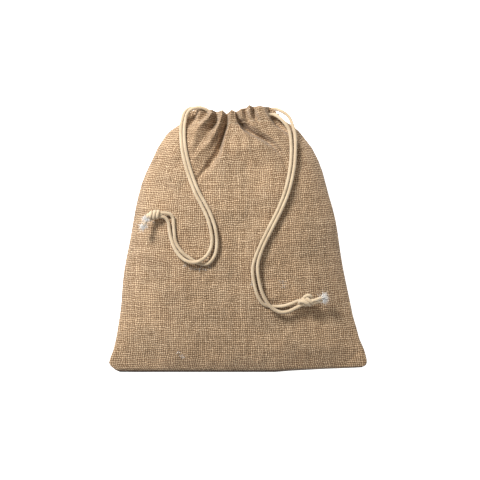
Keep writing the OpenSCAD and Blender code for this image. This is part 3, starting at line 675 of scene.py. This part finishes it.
def edge_rows(rows, columns, height):
    """Rows from the bottom edge to the mouth, each with its columns spread evenly along the cloth's own line."""
    y = bottom_y + (top_y - bottom_y) * (1 - (1 - np.linspace(0, 1, rows)) ** 1.3)
    half, middle = half_and_middle(y)
    fine = -np.cos(np.linspace(0, np.pi, 700))
    fine = 0.5 * fine + 0.5 * np.linspace(-1, 1, 700)
    x = middle[:, None] + half[:, None] * fine
    z = height(x, np.repeat(y[:, None], 700, 1))
    gone = np.cumsum(np.hypot(np.diff(x, axis=1, prepend=x[:, :1]), np.diff(z, axis=1, prepend=z[:, :1])), axis=1)
    share = 0.7 * gone / gone[:, -1:] + 0.3 * (fine + 1) / 2
    even = np.linspace(0, 1, columns)
    x_even = np.array([np.interp(even, s, r) for s, r in zip(share, x)])
    across = np.array([np.interp(even, s, g) for s, g in zip(share, gone)]) - gone[:, -1:] / 2
    across = across * (200 / gone[:, -1:]) ** 0.4
    return x_even, np.repeat(y[:, None], columns, 1), across


def bent_rows(x, y):
    """The rows follow the uneven mouth at the top and the slightly raised bottom edge."""
    top = np.interp(x, mouth_edge[:, 0], mouth_edge[:, 1]) - 100
    low_x = [-100, -92, -80, 28, 40, 55, 68, 89, 100]
    low = np.interp(x, low_x, [0.6, 0.1, 0, 0, 1, 1.8, 2.5, 3.3, 3.9])
    return y + top * soft((y - 80) / 20) + low * (1 - soft((y - bottom_y) / 34))


def eased(y, z):
    """Way along the cloth from the bottom edge: each column's own, drawn towards the mean of its row."""
    way = np.cumsum(np.hypot(np.diff(y, axis=0, prepend=y[:1]), np.diff(z, axis=0, prepend=z[:1])), axis=0)
    return 0.4 * way + 0.6 * (way.mean(axis=1, keepdims=True) + y - y.mean(axis=1, keepdims=True))


def panel(name, rows, z, side, casing_room, threads):
    """One panel: its outer face, its turned rim at the mouth and its inner face, a cloth thickness inside.

    The side is 1 for the front and -1 for the back. In the casing the inner face stands off
    the seam plane by the room, so that the cords have a tunnel.
    """
    x, y, y_bent = rows
    seam = seam_height(y)
    rise = side * (z - seam)
    casing = casing_room + 0.4 * np.sin(x * 0.9)
    inner = np.maximum(rise - cloth_thick, 0.05)
    inner = inner + (casing - inner) * soft((y - 89.6) / 1.6)
    inner = np.maximum(np.minimum(inner, rise - 0.9), np.minimum(0, rise - 0.1))
    half, middle = half_and_middle(y)
    inner_x = middle + (x - middle) * (1 - 1 / half)
    inner_y = y_bent + 1 - soft((y - bottom_y) / 15)
    inner_y[-1] = y_bent[-1]
    inner_z = seam + side * inner
    turn = np.pi * np.array([0.2, 0.4, 0.6, 0.8])[:, None]
    mid, reach = (z[-1] + inner_z[-1]) / 2, (z[-1] - inner_z[-1]) / 2
    rim = np.stack([x[-1] + 0 * turn, y_bent[-1] + 0.9 * np.sin(turn), mid + reach * np.cos(turn)], -1)
    faces = (np.stack([x, y_bent, z], -1), rim, np.stack([inner_x, inner_y, inner_z], -1))
    return piece(name, cloth_shell(*faces, threads, side < 0), cloth_material)


x, y, across = edge_rows(204, 234, front_height)
y_bent = bent_rows(x, y)
z = under_cords(x, y_bent, front_height(x, y))
front = panel("front_cloth", (x, y, y_bent), z, 1, 2.3, np.stack([across, eased(y_bent, z)], -1))


def follow_lip(made):
    """Bakes the piece's placement into its mesh.
    """
    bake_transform(made)


follow_lip(front)
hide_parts("front_panel", "front_lip", "front_casing", "left_casing_end", "right_casing_end")

# The two cords inside the front casing
runs = {"left_cord_in_lip": (0.0952, "left_cord_front_run"), "right_cord_in_lip": (0.0925, "right_cord_front_run")}
for name, (level, node) in runs.items():
    line = smooth_path([(-0.023, level + 0.0012, 0.0198), (-0.01, level, 0.0188), (0.01, level, 0.0188),
                        (0.023, level + 0.0012, 0.0198)])
    made = piece(name, tube(line, cord_r * 0.95, 10), cord_material)
    follow_lip(made)
    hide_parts(node)

# ---------- Back cloth ----------
# The second panel of the same cloth lies flat on the table under the pouch. Its casing is
# gathered into even pleats, which fade out towards the middle of the back.


def back_height(x, y):
    """Flat on the table in the middle, curving up to the side seams, with pleats that grow to the mouth."""
    half, middle = half_and_middle(y)
    side = np.clip((np.clip(np.abs(x - middle) / half, 0, 1) - 0.55) / 0.45, 0, 1)
    arch = (1 - side**2.2) ** 0.6
    start = np.clip(1 - (1 - np.clip(y - bottom_y, 0, 12) / 12) ** 2, 0, 1) ** 0.6
    deep = (seam_height(y) - 0.3) * start * arch
    gather = soft((y - 40) / 58) ** 1.5
    pleat = 0.5 - 0.5 * np.cos(2 * np.pi * (x - 3.4 + 1.2 * ripples(x, y, 40, 31)) / 8.3)
    crease = 0.5 * (0.6 + ripples(x, y, 26, 32)) * soft((y + 95) / 20)
    rise = np.maximum(0, 8 * gather * pleat**1.7 + crease * (1 - gather))
    return seam_height(y) - 0.1 - np.maximum(deep - rise * arch, 0.02)


x, y, across = edge_rows(150, 170, back_height)
z = np.maximum(back_height(x, y), 0.05)
y_bent = bent_rows(x, y) - 0.8 * soft((y - 80) / 20)
back = panel("back_cloth", (x, y, y_bent), z, -1, 2.2, np.stack([across + 400, eased(y_bent, z)], -1))
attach(back, "pouch")
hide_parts("back_panel", "back_casing")

# ---------- Seams inside the pouch ----------
# The two panels are sewn face to face and turned, so their allowances lie inside along
# both sides and the bottom, held by a line of cotton thread stitches.
thread_material = braid_material("sewing_thread", (0.66, 0.5, 0.31, 1), (0.42, 0.29, 0.16, 1), 80)
side_y = np.linspace(-94, 84, 120)
low_x = np.linspace(-86, 84, 120)
half, middle = half_and_middle(side_y)
seams = {
    "left": (np.column_stack([middle - half, side_y]), (1, 0)),
    "bottom": (np.column_stack([low_x, bent_rows(low_x, np.full(120, -102.4))]), (0, 1)),
    "right": (np.column_stack([middle + half, side_y]), (-1, 0)),
}
for name, (line, inward) in seams.items():
    rng = np.random.default_rng(len(name))
    inset = np.array([1.3, 3, 4.6, 6.2, 7.8])[None, :] * np.ones((120, 1))
    inset[:, -1] += 0.35 * rng.normal(size=120)
    at = line[:, None] + inset[..., None] * np.array(inward)
    level = seam_height(at[..., 1]) + 0.35 * np.sin(0.11 * (at[..., 0] + at[..., 1])) * (inset / 8)
    upper, lower = (np.concatenate([at, (level + d)[..., None]], -1) for d in (0.5, -0.5))
    rim = np.linspace(upper[-1], lower[-1], 4)[1:3]
    if name == "right":
        upper, lower, rim = upper[:, ::-1], lower[:, ::-1], rim[:, ::-1]
    strip = cloth_shell(upper, rim, lower, at[..., ::-1] + 800, name == "bottom")
    made = piece(name + "_inside_seam", strip, cloth_material)
    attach(made, "pouch")
    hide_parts(name + "_seam_allowance")
    spot = (line[4:-4:4] + line[5:-3:4]) / 2 + 4 * np.array(inward)
    way = unit(line[5:-3:4] - line[4:-4:4])
    stitches = []
    for p, w in zip(spot, way):
        top = seam_height(p[1]) + 0.75
        ends = [np.append(p - 1.7 * w, top - 0.4), np.append(p, top), np.append(p + 1.7 * w, top - 0.4)]
        stitches.append(tube(smooth_path(np.array(ends) * mm, 0.0006), 0.0003, 6))
    made = piece(name + "_inside_stitches", joined(stitches), thread_material)
    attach(made, "pouch")
    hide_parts(name + "_seam_stitches")

# ---------- Hem stitches ----------
# Running stitches of the same thread close the casing hem, front and back.


def running_stitches(places, level, height, lift):
    """One short thread on the cloth at each place: its middle on the surface, its ends sunk in."""
    made = []
    for place in places:
        px = place + np.linspace(-1.7, 1.7, 7)
        pz = height(px, np.full(7, level)) + lift * (0.12 - 0.5 * np.abs(np.linspace(-1, 1, 7)) ** 4)
        line = np.column_stack([px, bent_rows(px, np.full(7, level)), pz]) * mm
        made.append(tube(smooth_path(line, 0.0006), 0.00034, 6))
    return joined(made)


hems = {
    "left_hem_stitches": [-30.5, -25, -20.5, -14.3], "front_hem_stitches": [-7.2, -2.6, 3.4, 9.6],
    "right_hem_stitches": [15.4, 20.8, 26.4],
}
for node, places in hems.items():
    sewn = running_stitches(places, hem_stitch_y, front_height, 1)
    made = piece(node + "_sewn", sewn, thread_material)
    follow_lip(made)
    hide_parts(node)
sewn = running_stitches(np.arange(-28, 25, 5.5), hem_stitch_y, back_height, -1)
made = piece("back_hem_stitches_sewn", sewn, thread_material)
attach(made, "pouch")
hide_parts("back_hem_stitches")

# ---------- Loose fibre ----------
# Hairs of jute stand off the cloth along its edges and folds, and a few flecks of white
# cotton lint from the cord ends cling to the front.
rng = np.random.default_rng(7)
count = 420
y = rng.uniform(-102, 52, count)
half, middle = half_and_middle(y)
side = rng.choice([-1, 1], count) * np.where(rng.uniform(size=count) < 0.55, rng.uniform(0.96, 0.995, count),
                                             rng.uniform(0, 0.96, count))
x = middle + half * side
z = front_height(x, y)
roots = np.column_stack([x, bent_rows(x, y), z]) * mm
ahead = unit(np.column_stack([0.7 * side + 0.6 * rng.normal(size=count), rng.normal(size=count),
                              np.abs(0.35 * rng.normal(size=count))]))
hairs = fibres(roots, ahead, rng.uniform(0.0012, 0.0036, count), 0.00006, 0.35, 8)
hair_material = braid_material("jute_hair", (0.74, 0.56, 0.35, 1), (0.5, 0.34, 0.18, 1), 20)
made = piece("jute_hairs", hairs, hair_material)
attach(made, "pouch")
spots = np.array([(-49.6, 1.1), (-41, -19.8), (-37, -22), (-33, -23), (-29.5, -21.6), (-26, -22.8), (-23, -20.5),
                  (-47.3, -88), (-44, -91), (33.8, -33), (34, -36.5), (9.8, -34)])
spots = np.repeat(spots, 9, 0) + rng.normal(size=(9 * len(spots), 2)) * (0.9, 0.7)
z = under_cords(spots[:, 0], spots[:, 1], front_height(spots[:, 0], spots[:, 1])) + 0.2
roots = np.column_stack([spots, z]) * mm
ahead = unit(np.column_stack([rng.normal(size=(len(spots), 2)), 0.12 * np.abs(rng.normal(size=len(spots)))]))
lint = fibres(roots, ahead, rng.uniform(0.0007, 0.0019, len(spots)), 0.0001, 0.6, 9)
made = piece("cotton_lint", lint, fray_material)
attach(made, "pouch")

# ---------- Strands and their cut ends ---
# Each strand's own length runs from inside the casing to its knot. Each panel was cut from
# flat cloth 200 mm wide and 222 mm long with its casing turned over.
for name, made in strand_pieces.items():
    hand, place = name.split("_")[:2]
    path = strand_paths[name]
    ends = end_pieces[hand + ("_lower_cut_end" if place == "outer" else "_upper_cut_end")]

# ---------- Floor and light ----------
# A plain white studio floor, a large soft light high at the upper left, and an even fill.
# Floor and surroundings look whiter than the light they throw on the cloth.


def seen_directly(tree, socket, for_light, for_camera):
    """Gives a socket one value for the light it throws and another for how bright it looks."""
    ray = tree.nodes.new("ShaderNodeLightPath")
    share = tree.nodes.new("ShaderNodeMath")
    share.operation = "MULTIPLY_ADD"
    share.inputs[1].default_value = for_camera - for_light
    share.inputs[2].default_value = for_light
    tree.links.new(ray.outputs["Is Camera Ray"], share.inputs[0])
    tree.links.new(share.outputs[0], socket)


floor_mesh = bpy.data.meshes.new("floor")
floor_mesh.from_pydata([(-3, -3, 0), (3, -3, 0), (3, 3, 0), (-3, 3, 0)], [], [(0, 1, 2, 3)])
floor = bpy.data.objects.new("floor", floor_mesh)
bpy.context.scene.collection.objects.link(floor)
floor_material = bpy.data.materials.new("floor_paper")
floor_material.use_nodes = True
paper = floor_material.node_tree.nodes["Principled BSDF"]
paper.inputs["Base Color"].default_value = (0.93, 0.93, 0.93, 1)
paper.inputs["Roughness"].default_value = 0.9
paper.inputs["Emission Color"].default_value = (1, 1, 1, 1)
seen_directly(floor_material.node_tree, paper.inputs["Emission Strength"], 0.36, 1.0)
floor_mesh.materials.append(floor_material)


def soft_light(name, place, size, energy):
    """A square area light at a place, aimed at the pouch."""
    data = bpy.data.lights.new(name, "AREA")
    data.size, data.energy = size, energy
    made = bpy.data.objects.new(name, data)
    made.location = place
    made.rotation_mode = "QUATERNION"
    made.rotation_quaternion = made.location.to_track_quat("Z", "Y")
    bpy.context.scene.collection.objects.link(made)


soft_light("key_light", (-0.82, 1.07, 1.14), 0.43, 53.5)
world = bpy.data.worlds.new("studio")
bpy.context.scene.world = world
world.use_nodes = True
world.node_tree.nodes["Background"].inputs["Color"].default_value = (1, 1, 1, 1)
seen_directly(world.node_tree, world.node_tree.nodes["Background"].inputs["Strength"], 0.5, 1.0)
bpy.context.scene.view_settings.view_transform = "Standard"
